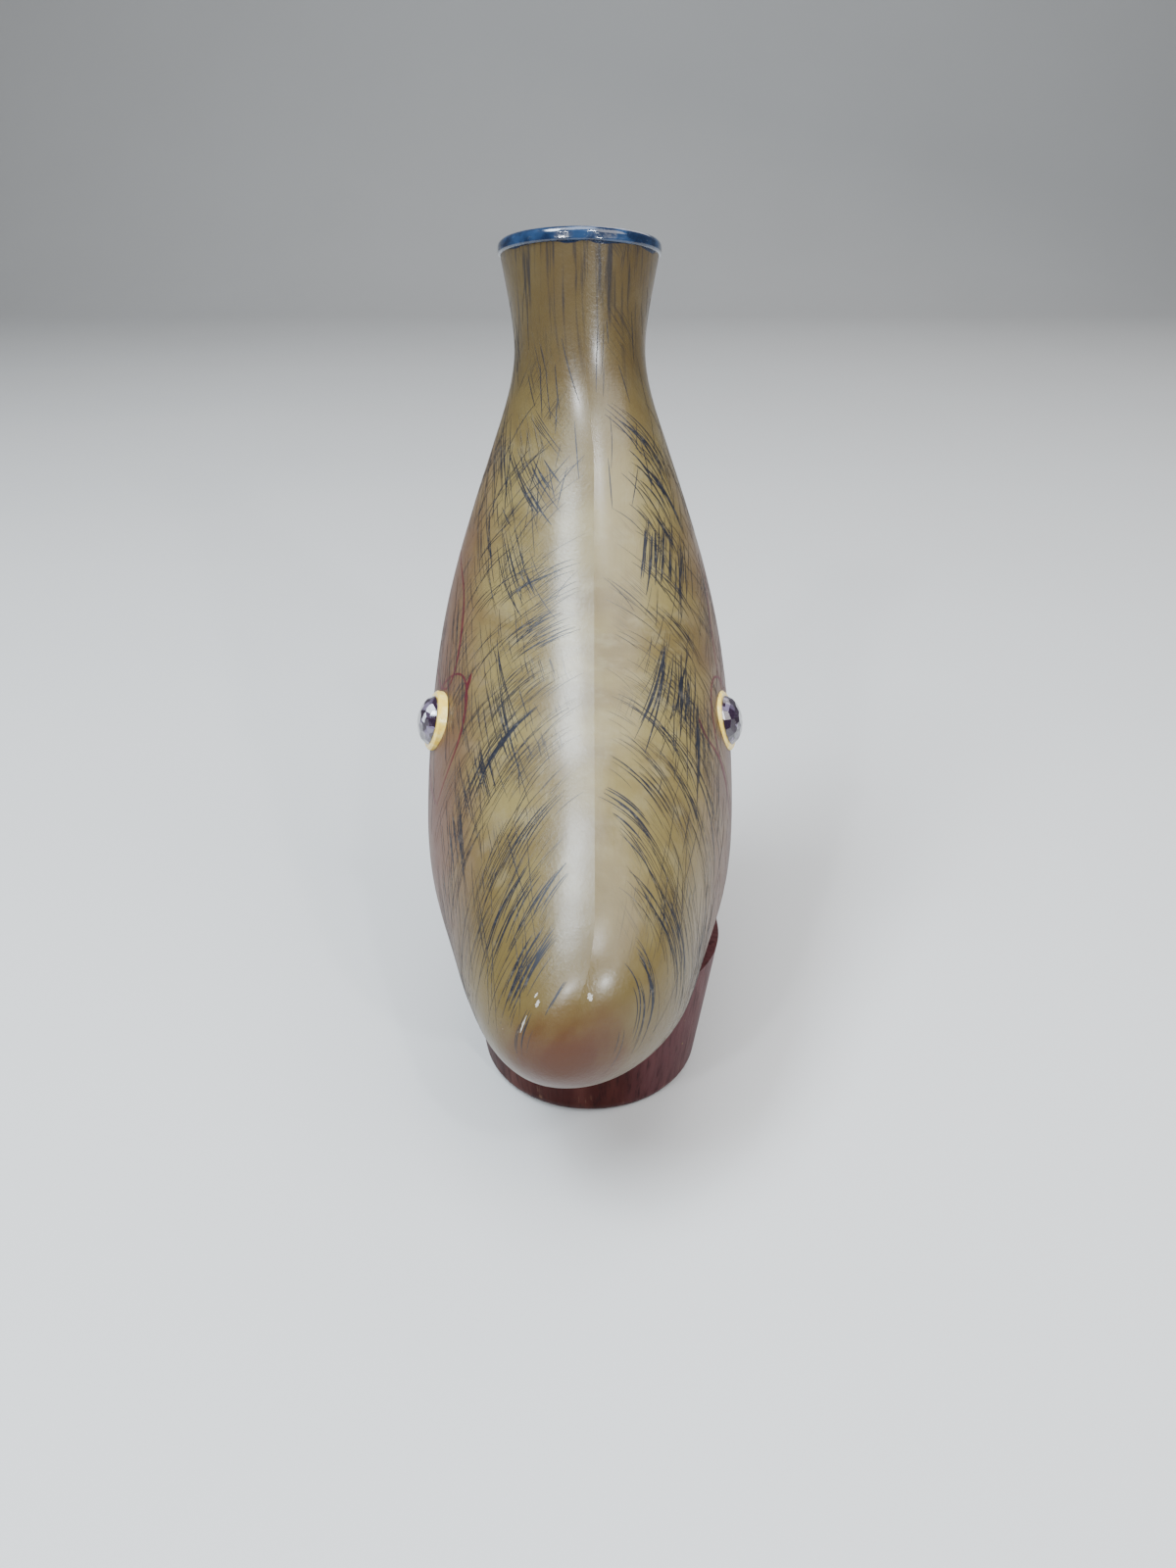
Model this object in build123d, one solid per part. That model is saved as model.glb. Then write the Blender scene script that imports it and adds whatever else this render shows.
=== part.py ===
from build123d import *

import os
from math import cos, radians, sin
from typing import NamedTuple

# A hollow wooden fish guiro that stands on a low foot. Millimetres, +Z up, origin in the middle of the
# foot's underside. The nose points along -Y and the tail curves up to an open, flared end.


class Station(NamedTuple):
    """One cross-section of the body, square to its middle line."""

    y: float
    z: float
    half_width: float
    back: float
    belly: float
    keel: float  # how far the back's quarter points are pulled in, which leaves a soft ridge


class Tier(NamedTuple):
    """One ring of equal facets on a crystal."""

    count: int
    turn: float  # fraction of a facet that the ring is turned by
    tilt: float  # degrees between a facet's normal and the crystal's axis
    reach: float  # distance of a facet's plane from the middle of the base


# ---- driving dimensions ----
NOSE_TIP = (-67.5, 40.5)
STATIONS = (
    Station(-66.0, 40.9, 6.5, 6.5, 5.5, 0.0),
    Station(-62.0, 41.8, 13.5, 14.0, 10.5, 0.010),
    Station(-52.0, 43.2, 21.5, 23.0, 16.5, 0.020),
    Station(-33.0, 46.5, 28.5, 33.0, 24.0, 0.035),
    Station(-9.0, 51.0, 35.5, 40.0, 30.0, 0.040),
    Station(13.0, 61.0, 38.2, 43.0, 32.5, 0.045),
    Station(32.0, 78.0, 38.0, 43.0, 32.0, 0.045),
    Station(44.0, 100.0, 34.8, 39.0, 29.5, 0.040),
    Station(50.0, 124.0, 28.0, 31.0, 25.0, 0.030),
    Station(52.0, 146.0, 20.2, 21.5, 19.0, 0.015),
    Station(53.0, 163.0, 16.0, 16.2, 16.0, 0.0),
    Station(55.5, 175.0, 17.2, 17.2, 17.2, 0.0),
    Station(57.8, 184.3, 19.0, 19.0, 19.0, 0.0),
)
ROUND_QUARTER = 0.707  # an ellipse passes through this share of both half axes
BODY_AT = (-2.5, 2.5)  # the body is glued a little off the foot's middle
WALL = 4.5
CORE_FIRST = 2  # the hollow starts at this station
CORE_OVERRUN = 2.0

LIP_HEIGHT = 3.2
LIP_PROUD = 0.6
LIP_INSET = 0.4  # how far the lip reaches into the bore
LIP_ROUND = 1.5
LIP_LOWER_ROUND = 0.6

NOTCH_COUNT = 24
NOTCH_PITCH = 4.4
NOTCH_START = 24.0  # from the start of the belly line
NOTCH_LINE_FIRST = 5  # the belly line starts at this station
NOTCH_RADIUS = 1.7
NOTCH_PROUD = 0.2  # the cutter's middle lies this far outside the skin
NOTCH_SWEEP = 62.0  # radius that the cutter follows from side to side

FOOT_LENGTH = 66.0
FOOT_WIDTH = 53.0
FOOT_HEIGHT = 37.0
FOOT_FLARE = 8.0  # degrees outwards
FOOT_EDGE = 4.0

EYE_MIDDLE = (27.0, 69.0)  # where the eye's axis leaves the middle plane
EYE_RAISE = 25.0  # degrees that the eye looks towards the back
RING_RADIUS = 7.5
RING_SUNK = 1.2
RING_PROUD = 1.0
RING_EDGE = 0.5
SEAT_DEPTH = 0.5
CRYSTAL_RADIUS = 6.1
CRYSTAL_HEIGHT = 3.6
CRYSTAL_TIERS = (Tier(16, 0.5, 55.0, 5.34), Tier(8, 0.0, 35.0, 4.53), Tier(8, 0.5, 18.0, 3.97))


def section_plane(index):
    """The plane of a station: local X is sideways and local Y points to the back."""
    before = STATIONS[max(index - 1, 0)]
    after = STATIONS[min(index + 1, len(STATIONS) - 1)]
    here = STATIONS[index]
    towards_nose = Vector(0, before.y - after.y, before.z - after.z)
    return Plane(origin=(0, here.y, here.z), x_dir=(1, 0, 0), z_dir=towards_nose)


def section(index, inset=0.0):
    """The closed outline of a station as a face, or of the space a wall's thickness inside it."""
    here = STATIONS[index]
    width = here.half_width - inset
    back = here.back - inset
    belly = here.belly - inset
    points = (
        (-width, 0),
        (-ROUND_QUARTER * width, -ROUND_QUARTER * belly),
        (0, -belly),
        (ROUND_QUARTER * width, -ROUND_QUARTER * belly),
        (width, 0),
        (ROUND_QUARTER * width, (ROUND_QUARTER - here.keel) * back),
        (0, back),
        (-ROUND_QUARTER * width, (ROUND_QUARTER - here.keel) * back),
    )
    return section_plane(index) * make_face(Spline(*points, periodic=True))


def make_block():
    """The body before it is hollowed and parted."""
    tip = Vertex(0, *NOSE_TIP)
    return loft([tip] + [section(index) for index in range(len(STATIONS))])


def make_core():
    """The hollow, which runs out through the tail."""
    sections = [section(index, WALL) for index in range(CORE_FIRST, len(STATIONS))]
    outwards = -section_plane(len(STATIONS) - 1).z_dir
    return loft(sections) + extrude(sections[-1], CORE_OVERRUN, dir=outwards)


def make_notch_cutters():
    """A row of ring-shaped cutters across the belly side, from above the foot to below the neck."""
    points = []
    for index in range(NOTCH_LINE_FIRST, len(STATIONS)):
        points.append(section_plane(index).from_local_coords((0, -STATIONS[index].belly)))
    belly_line = Spline(*points)
    cutters = []
    for row in range(NOTCH_COUNT):
        distance = NOTCH_START + row * NOTCH_PITCH
        along = belly_line.tangent_at(distance, position_mode=PositionMode.LENGTH)
        inwards = Vector(1, 0, 0).cross(along)
        skin = belly_line.position_at(distance, position_mode=PositionMode.LENGTH)
        centre = skin + inwards * (NOTCH_SWEEP - NOTCH_PROUD)
        place = Plane(origin=centre, x_dir=(1, 0, 0), z_dir=along)
        cutters.append(place * Torus(NOTCH_SWEEP, NOTCH_RADIUS))
    return cutters


def eye_plane(block):
    """The plane on the skin of the +X side that the eye sits on, with Z outwards."""
    rise = radians(EYE_RAISE)
    ahead, behind = STATIONS[5], STATIONS[6]
    along = Vector(0, behind.y - ahead.y, behind.z - ahead.z).normalized()
    backwards = along.cross(Vector(-1, 0, 0))
    direction = Vector(cos(rise), 0, 0) + backwards * sin(rise)
    axis = Axis((0, *EYE_MIDDLE), direction)
    point, normal = max(block.find_intersection_points(axis), key=lambda hit: hit[0].X)
    return Plane(origin=point, x_dir=along, z_dir=normal)


def make_eye_ring():
    """A shallow cup round the eye, with its base sunk into the body."""
    ring = Pos(0, 0, -RING_SUNK) * extrude(Circle(RING_RADIUS), RING_SUNK + RING_PROUD)
    ring = chamfer(ring.edges().sort_by(Axis.Z)[-1], RING_EDGE)
    seat = Pos(0, 0, RING_PROUD - SEAT_DEPTH) * extrude(Circle(CRYSTAL_RADIUS), SEAT_DEPTH)
    return ring - seat


def make_crystal():
    """A flat-backed faceted stone, with its base on the XY plane."""
    stone = extrude(Circle(CRYSTAL_RADIUS), CRYSTAL_HEIGHT)
    for tier in CRYSTAL_TIERS:
        for step in range(tier.count):
            heading = 360.0 * (step + tier.turn) / tier.count
            facet = Rot(0, 0, heading) * Rot(0, tier.tilt, 0) * Pos(0, 0, tier.reach) * Plane.XY
            stone = split(stone, bisect_by=facet, keep=Keep.BOTTOM)
    return Pos(0, 0, RING_PROUD - SEAT_DEPTH) * stone


def make_lip():
    """The rounded lip that closes the end grain of the open tail."""
    end = STATIONS[-1]
    inner = end.half_width - WALL - LIP_INSET
    outer = end.half_width + LIP_PROUD
    profile = Rectangle(outer - inner, LIP_HEIGHT, align=(Align.MIN, Align.MIN))
    corners = profile.vertices().sort_by(Axis.Y)
    lower_outer = corners[:2].sort_by(Axis.X)[-1]
    profile = fillet(corners[2:], LIP_ROUND)
    profile = fillet(profile.vertices().sort_by_distance(lower_outer)[0], LIP_LOWER_ROUND)
    ring = revolve(Plane.XZ * Pos(inner, 0) * profile, Axis.Z)
    end_plane = section_plane(len(STATIONS) - 1)
    return Plane(origin=end_plane.origin, x_dir=end_plane.x_dir, z_dir=-end_plane.z_dir) * ring


def make_foot(right_half):
    """A flared block under the belly, shaped on top to the solid right half and its mirror image."""
    outline = SlotOverall(FOOT_LENGTH, FOOT_WIDTH, rotation=90)
    foot = extrude(outline, FOOT_HEIGHT, taper=-FOOT_FLARE)
    foot = fillet(foot.faces().sort_by(Axis.Z)[0].edges(), FOOT_EDGE)
    for half in (right_half, mirror(right_half, Plane.YZ)):
        foot -= Pos(*BODY_AT, 0) * half
    return foot


def export_pair(name, right_part):
    """Write the +X part and its mirror image, both moved to where the body sits."""
    place = Pos(*BODY_AT, 0)
    export_step(place * right_part, f"parts/{name}_right.step")
    export_step(place * mirror(right_part, Plane.YZ), f"parts/{name}_left.step")


def main():
    os.makedirs("parts", exist_ok=True)
    block = make_block()
    eye = eye_plane(block)
    eye_pocket = eye * Pos(0, 0, -RING_SUNK) * extrude(Circle(RING_RADIUS), RING_SUNK + RING_PROUD)
    right_half = split(block, bisect_by=Plane.YZ, keep=Keep.TOP)
    body_half = right_half - make_core() - eye_pocket
    for cutter in make_notch_cutters():
        body_half -= cutter

    export_pair("body", body_half)
    export_pair("eye_ring", eye * make_eye_ring())
    export_pair("eye_crystal", eye * make_crystal())
    export_step(Pos(*BODY_AT, 0) * make_lip(), "parts/tail_lip.step")
    export_step(make_foot(right_half), "parts/foot.step")


main()
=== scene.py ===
import math
import random
from typing import NamedTuple

import bmesh
import bpy
import numpy as np
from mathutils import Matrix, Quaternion, Vector


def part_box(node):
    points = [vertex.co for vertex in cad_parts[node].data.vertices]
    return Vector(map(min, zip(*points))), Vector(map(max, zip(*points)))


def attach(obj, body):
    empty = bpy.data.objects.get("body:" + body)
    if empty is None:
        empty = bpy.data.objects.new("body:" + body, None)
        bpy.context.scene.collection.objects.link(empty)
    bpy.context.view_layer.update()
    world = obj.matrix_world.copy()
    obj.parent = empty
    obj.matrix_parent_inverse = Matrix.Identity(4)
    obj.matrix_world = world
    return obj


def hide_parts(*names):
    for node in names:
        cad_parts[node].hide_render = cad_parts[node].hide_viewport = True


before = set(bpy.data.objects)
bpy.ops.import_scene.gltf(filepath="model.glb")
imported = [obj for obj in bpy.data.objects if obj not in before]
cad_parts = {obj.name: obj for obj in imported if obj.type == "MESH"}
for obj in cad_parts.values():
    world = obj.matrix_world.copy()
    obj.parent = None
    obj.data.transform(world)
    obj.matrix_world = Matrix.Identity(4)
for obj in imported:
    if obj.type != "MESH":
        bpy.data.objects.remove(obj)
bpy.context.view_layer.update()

# A hollow wooden fish guiro. Blender works in metres; MM turns millimetres into metres.
MM = 0.001

# ---- the body's design, as in the CAD model, in millimetres ----
NOSE_TIP = (-67.5, 40.5)
# y, z, half width, back, belly, keel
STATIONS = np.array((
    (-66.0, 40.9, 6.5, 6.5, 5.5, 0.0),
    (-62.0, 41.8, 13.5, 14.0, 10.5, 0.010),
    (-52.0, 43.2, 21.5, 23.0, 16.5, 0.020),
    (-33.0, 46.5, 28.5, 33.0, 24.0, 0.035),
    (-9.0, 51.0, 35.5, 40.0, 30.0, 0.040),
    (13.0, 61.0, 38.2, 43.0, 32.5, 0.045),
    (32.0, 78.0, 38.0, 43.0, 32.0, 0.045),
    (44.0, 100.0, 34.8, 39.0, 29.5, 0.040),
    (50.0, 124.0, 28.0, 31.0, 25.0, 0.030),
    (52.0, 146.0, 20.2, 21.5, 19.0, 0.015),
    (53.0, 163.0, 16.0, 16.2, 16.0, 0.0),
    (55.5, 175.0, 17.2, 17.2, 17.2, 0.0),
    (57.8, 184.3, 19.0, 19.0, 19.0, 0.0),
))
ROUND_QUARTER = 0.707
BODY_AT = (-2.5, 2.5)
WALL = 4.5
CORE_FIRST = 2

NOTCH_COUNT = 24
NOTCH_PITCH = 4.4
NOTCH_START = 24.0
NOTCH_LINE_FIRST = 5
NOTCH_RADIUS = 1.7
NOTCH_PROUD = 0.2
NOTCH_SWEEP = 62.0

# ---- how finely the skin is meshed ----
AROUND_HALF = 100  # columns from the back to the belly on one side
MIRRORED = 3  # rings repeated beyond the nose's tip, so that it closes smoothly
FIRST_STATION = MIRRORED + 1  # the tip comes between those rings and the stations
TIP_ROWS = (0.0, 0.3, 0.7, 1.2, 1.9, 2.8)
TIP_END = 3.8
ROW_STEP = 1.2
NOTCH_ROW_STEP = 0.4
FINE_ROWS_FROM = 12.0  # past the station where the belly line starts
FINE_ROWS_LENGTH = 96.0
BELLY_STEP = 0.1  # between the points that the belly line is measured by
UV_PER_MM = 0.01


# ------------------------------------------------------------------ splines
def natural_spline(knots, values, query):
    """Cubic spline through values (one row per knot) with no bend at its ends."""
    knots = np.asarray(knots, float)
    values = np.asarray(values, float)
    shape = values.shape
    flat = values.reshape(len(knots), -1)
    gap = np.diff(knots)
    count = len(knots)
    matrix = np.zeros((count, count))
    right = np.zeros_like(flat)
    matrix[0, 0] = matrix[-1, -1] = 1.0
    for i in range(1, count - 1):
        matrix[i, i - 1:i + 2] = gap[i - 1], 2 * (gap[i - 1] + gap[i]), gap[i]
        right[i] = 6 * ((flat[i + 1] - flat[i]) / gap[i] - (flat[i] - flat[i - 1]) / gap[i - 1])
    bend = np.linalg.solve(matrix, right)
    query = np.asarray(query, float)
    i = np.clip(np.searchsorted(knots, query) - 1, 0, count - 2)
    a = ((knots[i + 1] - query) / gap[i])[:, None]
    b = ((query - knots[i]) / gap[i])[:, None]
    curve = a * flat[i] + b * flat[i + 1]
    curve += ((a ** 3 - a) * bend[i] + (b ** 3 - b) * bend[i + 1]) * (gap[i] ** 2)[:, None] / 6
    return curve.reshape((len(query),) + shape[1:])


def closed_spline(points, count):
    """count points evenly spaced in chord length along a smooth closed curve through points."""
    points = np.asarray(points, float)
    wrapped = np.concatenate((points, points, points, points[:1]))
    chord = np.r_[0, np.cumsum(np.linalg.norm(np.diff(wrapped, axis=0), axis=1))]
    start, end = chord[len(points)], chord[2 * len(points)]
    query = start + (end - start) * np.arange(count) / count
    return natural_spline(chord, wrapped, query)


# ------------------------------------------------------------------ the skin
def section_frame(index):
    """A station's middle, and its direction to the back, in the middle plane."""
    before = STATIONS[max(index - 1, 0), :2]
    after = STATIONS[min(index + 1, len(STATIONS) - 1), :2]
    along = (after - before) / np.linalg.norm(after - before)
    return STATIONS[index, :2], np.array((-along[1], along[0]))


def section_ring(index, inset, count):
    """A station's outline as count points, from the back round by +X."""
    middle, to_back = section_frame(index)
    width, back, belly = STATIONS[index, 2:5] - inset
    pulled = ROUND_QUARTER - STATIONS[index, 5]
    outline = (
        (0, back), (ROUND_QUARTER * width, pulled * back), (width, 0),
        (ROUND_QUARTER * width, -ROUND_QUARTER * belly), (0, -belly),
        (-ROUND_QUARTER * width, -ROUND_QUARTER * belly), (-width, 0),
        (-ROUND_QUARTER * width, pulled * back),
    )
    flat = closed_spline(outline, count)
    place = middle + flat[:, 1:] * to_back
    return np.column_stack((flat[:, 0], place))


class Skin:
    """The body's smooth surface, or its hollow, as a grid of rows along and columns around."""

    def __init__(self, inset=0.0):
        count = 2 * AROUND_HALF
        first = CORE_FIRST if inset else 0
        rings = [section_ring(index, inset, count) for index in range(first, len(STATIONS))]
        if inset:
            stack = np.array(rings)
        else:
            tip = np.tile(np.array((0.0,) + NOSE_TIP), (count, 1))
            across = [np.roll(ring, AROUND_HALF, axis=0) for ring in rings[MIRRORED - 1::-1]]
            stack = np.array(across + [tip] + rings)
        step = np.linalg.norm(np.diff(stack, axis=0), axis=2).mean(axis=1)
        knots = np.r_[0, np.cumsum(step)]
        if not inset:
            knots -= knots[MIRRORED]
        self.knots = knots
        self.stack = stack
        self.end = knots[-1]

    def rows(self, along):
        """Skin points in millimetres for each distance along."""
        return natural_spline(self.knots, self.stack, along)


# ---- the looks' own sizes, in millimetres ----
NOSE_LEAN = -3.2  # the carved nose points a little to -X
NOSE_LEAN_REACH = 34.0
KEEL_SHIFT = 3.4  # the keel runs a little to the +X side
KEEL_REACH = 0.5  # share of the way from the back to the belly that moves with it
KEEL_RIDGE = 0.55  # the keel's own height
KEEL_FADE = 0.05  # share of the way to the belly over which it falls to a third
KEEL_START = (5.0, 24.0)  # distances from the nose between which the keel rises
KEEL_END = (185.0, 222.0)  # and between which it dies away
DEEP_CUT = 0.3  # the rasp's first and last rows are cut at least this deep
RASP_FADE = 3.0  # the worn ridges fade out over this length beyond the rasp
RASP_INSET = 1.0
RASP_SIDE = (0.80, 0.93)  # and between these shares of the way to the belly
EDGE_SHARP = math.radians(50.0)


def smooth_step(low, high, value):
    """0 below low, 1 above high, and smooth between."""
    share = np.clip((np.asarray(value, float) - low) / (high - low), 0.0, 1.0)
    return share * share * (3.0 - 2.0 * share)


def carved(points, along):
    """Grid points moved as the hand carving leans, and set where the body stands on its foot."""
    columns = np.arange(points.shape[1])
    share = np.minimum(columns, points.shape[1] - columns) / AROUND_HALF
    near_keel = np.clip(1.0 - (share / KEEL_REACH) ** 2, 0.0, 1.0) ** 2
    keel = smooth_step(*KEEL_START, along) * (1.0 - smooth_step(*KEEL_END, along))
    nose = 1.0 - smooth_step(0, NOSE_LEAN_REACH, along)
    middle = points.mean(axis=1, keepdims=True)
    outwards = points - middle
    outwards /= np.maximum(np.linalg.norm(outwards, axis=2), 1.0)[..., None]
    ridge = KEEL_RIDGE * keel[:, None] * np.exp(-share / KEEL_FADE)
    moved = points + outwards * ridge[..., None]
    moved[..., 0] += KEEL_SHIFT * keel[:, None] * near_keel + NOSE_LEAN * nose[:, None]
    moved[..., :2] += BODY_AT
    return moved


def notch_planes(skin):
    """Middle and direction of each notch's cutting circle, from the belly line."""
    fine = np.arange(skin.knots[FIRST_STATION + NOTCH_LINE_FIRST], skin.end, BELLY_STEP)
    belly = skin.rows(fine)[:, AROUND_HALF]
    distance = np.r_[0, np.cumsum(np.linalg.norm(np.diff(belly, axis=0), axis=1))]
    planes = []
    for row in range(NOTCH_COUNT):
        here = NOTCH_START + row * NOTCH_PITCH
        point = np.array([np.interp(here, distance, belly[:, axis]) for axis in range(3)])
        after = np.array([np.interp(here + 2 * BELLY_STEP, distance, belly[:, axis]) for axis in range(3)])
        along = (after - point) / np.linalg.norm(after - point)
        inwards = np.cross((1.0, 0.0, 0.0), along)
        planes.append((point + inwards * (NOTCH_SWEEP - NOTCH_PROUD), along))
    return planes


def cut_notches(points, planes):
    """Skin points pressed in by the notches, and how deep each one went."""
    belly_side = np.zeros(points.shape[:2], bool)
    belly_side[:, AROUND_HALF // 2:-AROUND_HALF // 2] = True
    deepest = np.zeros(points.shape[:2])
    moved = points.copy()
    for centre, along in planes:
        away = points - centre
        aside = away @ along
        flat = away - aside[..., None] * along
        radius = np.linalg.norm(flat, axis=2)
        reach = np.sqrt(np.maximum(NOTCH_RADIUS ** 2 - aside ** 2, 0.0))
        depth = radius - (NOTCH_SWEEP - reach)
        cut = belly_side & (np.abs(aside) < NOTCH_RADIUS) & (depth > 0) & (depth < 2 * NOTCH_RADIUS)
        moved[cut] -= (flat / radius[..., None] * depth[..., None])[cut]
        deepest[cut] = depth[cut]
    return moved, deepest


def row_places(skin):
    """Distances along for the grid's rows: fine at the nose's tip and over the notches."""
    hollow = skin.knots[FIRST_STATION + CORE_FIRST]
    notched_from = skin.knots[FIRST_STATION + NOTCH_LINE_FIRST] + FINE_ROWS_FROM
    notched_to = notched_from + FINE_ROWS_LENGTH
    steps = np.concatenate((
        TIP_ROWS,
        np.arange(TIP_END, hollow - ROW_STEP / 2, ROW_STEP),
        np.arange(hollow, notched_from, ROW_STEP),
        np.arange(notched_from, notched_to, NOTCH_ROW_STEP),
        np.arange(notched_to, skin.end, ROW_STEP / 2),
        [skin.end],
    ))
    return steps, int(np.searchsorted(steps, hollow - 1e-6))


class Body:
    """The carved body's outer and inner grids, and where a painted line on it lies."""

    def __init__(self):
        skin = Skin()
        core = Skin(WALL)
        self.along, self.hollow_row = row_places(skin)
        smooth = skin.rows(self.along)
        station_places = skin.knots[FIRST_STATION + CORE_FIRST:]
        core_along = np.interp(self.along[self.hollow_row:], station_places, core.knots)
        notched, self.cut = cut_notches(smooth, notch_planes(skin))
        self.outer = carved(notched, self.along)
        self.inner = carved(core.rows(core_along), self.along[self.hollow_row:])
        self.smooth = carved(smooth, self.along)
        self.around = {side: self.arc(side) for side in (1, -1)}
        by_row = np.gradient(self.smooth, axis=0)
        by_column = np.roll(self.smooth, -1, axis=1) - np.roll(self.smooth, 1, axis=1)
        normal = np.cross(by_column, by_row)
        self.normal = normal / np.maximum(np.linalg.norm(normal, axis=2), 1e-9)[..., None]
        self.normal[0] = (0.0, -1.0, 0.0)

    def columns(self, side):
        """Grid columns of one half, from the back to the belly."""
        return (side * np.arange(AROUND_HALF + 1)) % (2 * AROUND_HALF)

    def arc(self, side):
        """Distance round from the keel, for each row and each column of one half."""
        half = self.smooth[:, self.columns(side)]
        steps = np.linalg.norm(np.diff(half, axis=1), axis=2)
        return np.concatenate((np.zeros((len(half), 1)), np.cumsum(steps, axis=1)), axis=1)

    def place(self, side, around, along):
        """Skin point and outward normal at a distance round from the keel and along from the nose."""
        row = np.interp(along, self.along, np.arange(len(self.along)))
        low = min(int(row), len(self.along) - 2)
        point = np.zeros(3)
        normal = np.zeros(3)
        on = self.columns(side)
        for index, share in ((low, 1.0 - (row - low)), (low + 1, row - low)):
            column = np.interp(around, self.around[side][index], np.arange(AROUND_HALF + 1))
            left = min(int(column), AROUND_HALF - 1)
            for offset, part in ((0, 1.0 - (column - left)), (1, column - left)):
                point += share * part * self.smooth[index, on[left + offset]]
                normal += share * part * self.normal[index, on[left + offset]]
        return point, normal / np.linalg.norm(normal)


def new_mesh(name, vertices, faces, materials, face_materials=None):
    """A closed mesh object with outward faces, smooth but for its sharp edges."""
    mesh = bpy.data.meshes.new(name)
    mesh.from_pydata([tuple(v) for v in np.asarray(vertices) * MM], [], faces)
    for material in materials:
        mesh.materials.append(material)
    if face_materials is not None:
        mesh.polygons.foreach_set("material_index", face_materials)
    edit = bmesh.new()
    edit.from_mesh(mesh)
    bmesh.ops.recalc_face_normals(edit, faces=edit.faces)
    edit.to_mesh(mesh)
    edit.free()
    mesh.polygons.foreach_set("use_smooth", [True] * len(mesh.polygons))
    mesh.set_sharp_from_angle(angle=EDGE_SHARP)
    piece = bpy.data.objects.new(name, mesh)
    bpy.context.scene.collection.objects.link(piece)
    return piece


def grid_faces(index):
    """Quads over a grid of vertex numbers."""
    corners = (index[:-1, :-1], index[1:, :-1], index[1:, 1:], index[:-1, 1:])
    return np.stack([corner.ravel() for corner in corners], axis=1).tolist()


def strip_faces(first, second):
    """Quads between two equally long rows of vertex numbers."""
    return grid_faces(np.stack((first, second)))


def half_faces(outer, inner, hollow_row):
    """Faces of one half: skin, hollow, and what joins them. The skin's faces come first."""
    skin = [(0, int(a), int(b)) for a, b in zip(outer[1, :-1], outer[1, 1:])] + grid_faces(outer[1:])
    hollow = grid_faces(inner) + [inner[0].tolist()]
    joint = strip_faces(outer[-1], inner[-1])
    for edge in (0, -1):
        joint += strip_faces(outer[hollow_row:, edge], inner[:, edge])
    joint += strip_faces(outer[1:hollow_row, 0], outer[1:hollow_row, -1])
    joint.append([0, int(outer[1, 0]), int(outer[1, -1])])
    last = hollow_row - 1
    joint.append([int(v) for v in (
        outer[last, 0], outer[last + 1, 0], inner[0, 0], inner[0, -1], outer[last + 1, -1], outer[last, -1],
    )])
    return skin, hollow, joint


def set_point_values(mesh, name, values):
    """A number for each vertex that a material can read."""
    mesh.attributes.new(name, "FLOAT", "POINT").data.foreach_set("value", np.asarray(values, np.float32))


def set_uv(mesh, per_vertex):
    """A UV map that gives each corner its vertex's place."""
    corners = np.empty(len(mesh.loops), np.int32)
    mesh.loops.foreach_get("vertex_index", corners)
    layer = mesh.uv_layers.new(name="skin")
    layer.data.foreach_set("uv", np.asarray(per_vertex, np.float32)[corners].ravel())


def make_half(body, side, name, materials):
    """One half of the hollow body as a closed mesh, with its place on the skin as UV."""
    on = body.columns(side)
    columns = len(on)
    rows = len(body.along)
    inner_rows = rows - body.hollow_row
    outer = np.zeros((rows, columns), int)
    outer[1:] = 1 + np.arange((rows - 1) * columns).reshape(rows - 1, columns)
    inner = outer.max() + 1 + np.arange(inner_rows * columns).reshape(inner_rows, columns)
    vertices = np.concatenate((
        body.outer[:1, 0], body.outer[1:, on].reshape(-1, 3), body.inner[:, on].reshape(-1, 3),
    ))
    skin, hollow, joint = half_faces(outer, inner, body.hollow_row)
    kinds = [0] * len(skin) + [1] * (len(hollow) + len(joint))
    piece = new_mesh(name, vertices, skin + hollow + joint, materials, kinds)

    around = body.around[side]
    along = np.repeat(body.along[:, None], columns, axis=1)
    rest = slice(body.hollow_row, None)

    def spread(grid):
        return np.concatenate((grid[:1, 0], grid[1:].ravel(), grid[rest].ravel()))

    set_uv(piece.data, np.column_stack((side * spread(around), spread(along))) * UV_PER_MM)
    set_point_values(piece.data, "cut", spread(body.cut[:, on]))
    set_point_values(piece.data, "crest", spread(rasp_crests(body, columns)))
    return piece


def rasp_crests(body, columns):
    """1 on the worn ridges of the rasp, fading to 0 at its sides and ends."""
    notched = np.flatnonzero(body.cut[:, AROUND_HALF] > DEEP_CUT)
    first, last = body.along[notched[0]], body.along[notched[-1]]
    begun = smooth_step(first - RASP_FADE, first + RASP_INSET, body.along)
    ended = smooth_step(last - RASP_INSET, last + RASP_FADE, body.along)
    share = np.arange(columns) / AROUND_HALF
    return (begun * (1 - ended))[:, None] * smooth_step(*RASP_SIDE, share)[None]


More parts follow.
